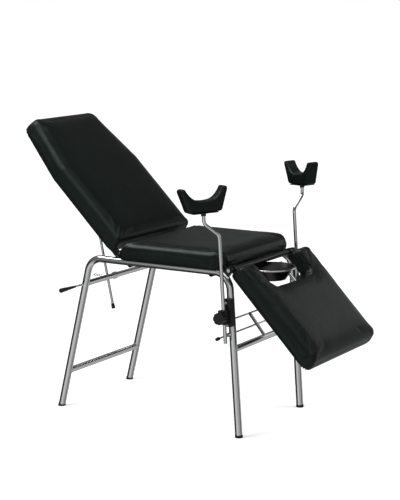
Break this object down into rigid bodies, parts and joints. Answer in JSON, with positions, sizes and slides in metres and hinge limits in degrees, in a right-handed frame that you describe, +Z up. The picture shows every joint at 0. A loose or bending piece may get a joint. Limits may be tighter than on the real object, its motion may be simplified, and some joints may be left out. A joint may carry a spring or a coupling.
{
  "type": "examination table",
  "caption": "Examination couch on a chrome tube frame with a tilting backrest, a tilting foot section cut out over a basin, and two clamped leg holders",
  "frame": {"origin": "on the floor, at the middle of the bounding box seen from above", "axes": "+X towards the foot end, +Y to the left of a person lying on the back, +Z up; the backrest is raised and the foot section lowered as in the picture"},
  "size_m": [1.5519, 0.9663, 1.3186],
  "materials": {
    "vinyl": "black upholstery vinyl, soft sheen",
    "chrome_tube": "bright chrome plate",
    "black_plastic": "moulded black plastic",
    "black_rubber": "black rubber",
    "board": "plywood board behind a dark lining",
    "stainless": "spun stainless steel",
    "zinc_steel": "zinc plated steel"
  },
  "bodies": {
    "frame": {"side_frame_near": "chrome_tube", "side_frame_far": "chrome_tube", "rear_lower_cross_tube": "chrome_tube", "rear_upper_cross_tube": "chrome_tube", "front_lower_cross_tube": "chrome_tube", "seat_cross_tube_rear": "chrome_tube", "seat_cross_tube_front": "chrome_tube", "rubber_feet": "black_rubber", "front_upper_rod": "chrome_tube", "front_slanting_brace": "chrome_tube", "seat_board": "board", "seat_cushion": "vinyl", "seat_board_screws": "zinc_steel", "backrest_hinge_ears": "zinc_steel", "backrest_pivot_bolts": "chrome_tube", "backrest_stay_guide_loop": "chrome_tube", "cross_tube_collar": "chrome_tube", "backrest_lever_guides": "zinc_steel", "foot_hinge_brackets": "chrome_tube", "strut_lugs": "zinc_steel", "strut_lower_pin": "zinc_steel", "foot_release_guides": "zinc_steel", "basin": "stainless", "basin_ring": "chrome_tube", "holder_clamp_near": "black_plastic", "holder_clamp_far": "black_plastic", "holder_clamp_bolts": "chrome_tube"},
    "backrest": {"backrest_board": "board", "backrest_cushion": "vinyl", "backrest_tube": "chrome_tube", "backrest_hinge_lug_near": "zinc_steel", "backrest_hinge_lug_far": "zinc_steel", "backrest_stay_bracket": "zinc_steel", "backrest_stay_pin": "zinc_steel"},
    "stay": {"backrest_stay_rod": "chrome_tube", "backrest_stay_cap": "black_rubber"},
    "lever": {"backrest_release_lever": "chrome_tube", "backrest_release_grip": "black_plastic"},
    "foot_section": {"foot_board": "board", "foot_cushion": "vinyl", "foot_hinge_shaft": "chrome_tube", "foot_hinge_straps": "zinc_steel", "foot_hinge_bolts": "chrome_tube", "foot_tube": "chrome_tube", "strut_bracket": "zinc_steel"},
    "strut_lower": {"strut_outer_tube": "chrome_tube"},
    "strut_upper": {"strut_rod": "chrome_tube", "strut_top_pin": "zinc_steel"},
    "foot_release": {"foot_release_rod": "chrome_tube", "foot_release_cap": "black_plastic"},
    "holder_bush_near": {"holder_bush_near": "black_plastic"},
    "holder_near": {"holder_rod_near": "chrome_tube"},
    "holder_pad_near": {"holder_socket_near": "black_plastic", "holder_pad_near": "vinyl"},
    "holder_knob_near": {"holder_knob_near": "black_plastic"},
    "holder_bush_far": {"holder_bush_far": "black_plastic"},
    "holder_far": {"holder_rod_far": "chrome_tube"},
    "holder_pad_far": {"holder_socket_far": "black_plastic", "holder_pad_far": "vinyl"},
    "holder_knob_far": {"holder_knob_far": "black_plastic"}
  },
  "joints": [
    {"name": "backrest_tilt", "type": "hinge", "parent": "frame", "child": "backrest", "pos_m": [-0.2241, 0.0116, 0.748], "axis": [0, 1, 0], "range_deg": [-44.5, 10.5]},
    {"name": "stay_pivot", "type": "hinge", "parent": "backrest", "child": "stay", "pos_m": [-0.51244, -0.0654, 0.98789], "axis": [0, 1, 0], "range_deg": [-2.6, 10.8]},
    {"name": "release_lever_turn", "type": "hinge", "parent": "frame", "child": "lever", "pos_m": [-0.4371, -0.2884, 0.584], "axis": [0, 1, 0], "range_deg": [-20, 40]},
    {"name": "foot_tilt", "type": "hinge", "parent": "frame", "child": "foot_section", "pos_m": [0.3559, 0.0116, 0.728], "axis": [0, -1, 0], "range_deg": [0, 46]},
    {"name": "strut_swing", "type": "hinge", "parent": "frame", "child": "strut_lower", "pos_m": [0.3709, 0.2196, 0.42], "axis": [0, 1, 0], "range_deg": [-0.2, 4.4]},
    {"name": "strut_slide", "type": "slide", "parent": "strut_lower", "child": "strut_upper", "axis": [0.3631, 0, 0.9317], "range_m": [-0.001, 0.119]},
    {"name": "foot_release_push", "type": "slide", "parent": "frame", "child": "foot_release", "axis": [0, 1, 0], "range_m": [0, 0.01], "stiffness_N_per_m": 300},
    {"name": "holder_swivel_near", "type": "hinge", "parent": "frame", "child": "holder_bush_near", "pos_m": [0.35727, -0.3134, 0.54963], "axis": [-0.061, 0, 0.9981], "range_deg": [-80, 80]},
    {"name": "holder_lift_near", "type": "slide", "parent": "holder_bush_near", "child": "holder_near", "axis": [-0.061, 0, 0.9981], "range_m": [-0.06, 0.06]},
    {"name": "pad_swivel_near", "type": "hinge", "parent": "holder_near", "child": "holder_pad_near", "pos_m": [0.29793, -0.37287, 0.97981], "axis": [-0.061, 0, 0.9981], "range_deg": [-90, 90]},
    {"name": "clamp_knob_turn_near", "type": "hinge", "parent": "frame", "child": "holder_knob_near", "pos_m": [0.35813, -0.3504, 0.53566], "axis": [0, 1, 0], "continuous": true},
    {"name": "holder_swivel_far", "type": "hinge", "parent": "frame", "child": "holder_bush_far", "pos_m": [0.35727, 0.3366, 0.54963], "axis": [-0.061, 0, 0.9981], "range_deg": [-80, 80]},
    {"name": "holder_lift_far", "type": "slide", "parent": "holder_bush_far", "child": "holder_far", "axis": [-0.061, 0, 0.9981], "range_m": [-0.06, 0.06]},
    {"name": "pad_swivel_far", "type": "hinge", "parent": "holder_far", "child": "holder_pad_far", "pos_m": [0.3422, 0.39822, 1.01057], "axis": [-0.061, 0, 0.9981], "range_deg": [-90, 90]},
    {"name": "clamp_knob_turn_far", "type": "hinge", "parent": "frame", "child": "holder_knob_far", "pos_m": [0.35813, 0.3736, 0.53566], "axis": [0, 1, 0], "continuous": true}
  ],
  "couplings": [
    {"joint": "stay_pivot", "follows": "backrest_tilt", "ratio": -0.24},
    {"joint": "strut_swing", "follows": "foot_tilt", "ratio": 0.09153},
    {"joint": "strut_slide", "follows": "foot_tilt", "m_per_rad": 0.14627}
  ]
}
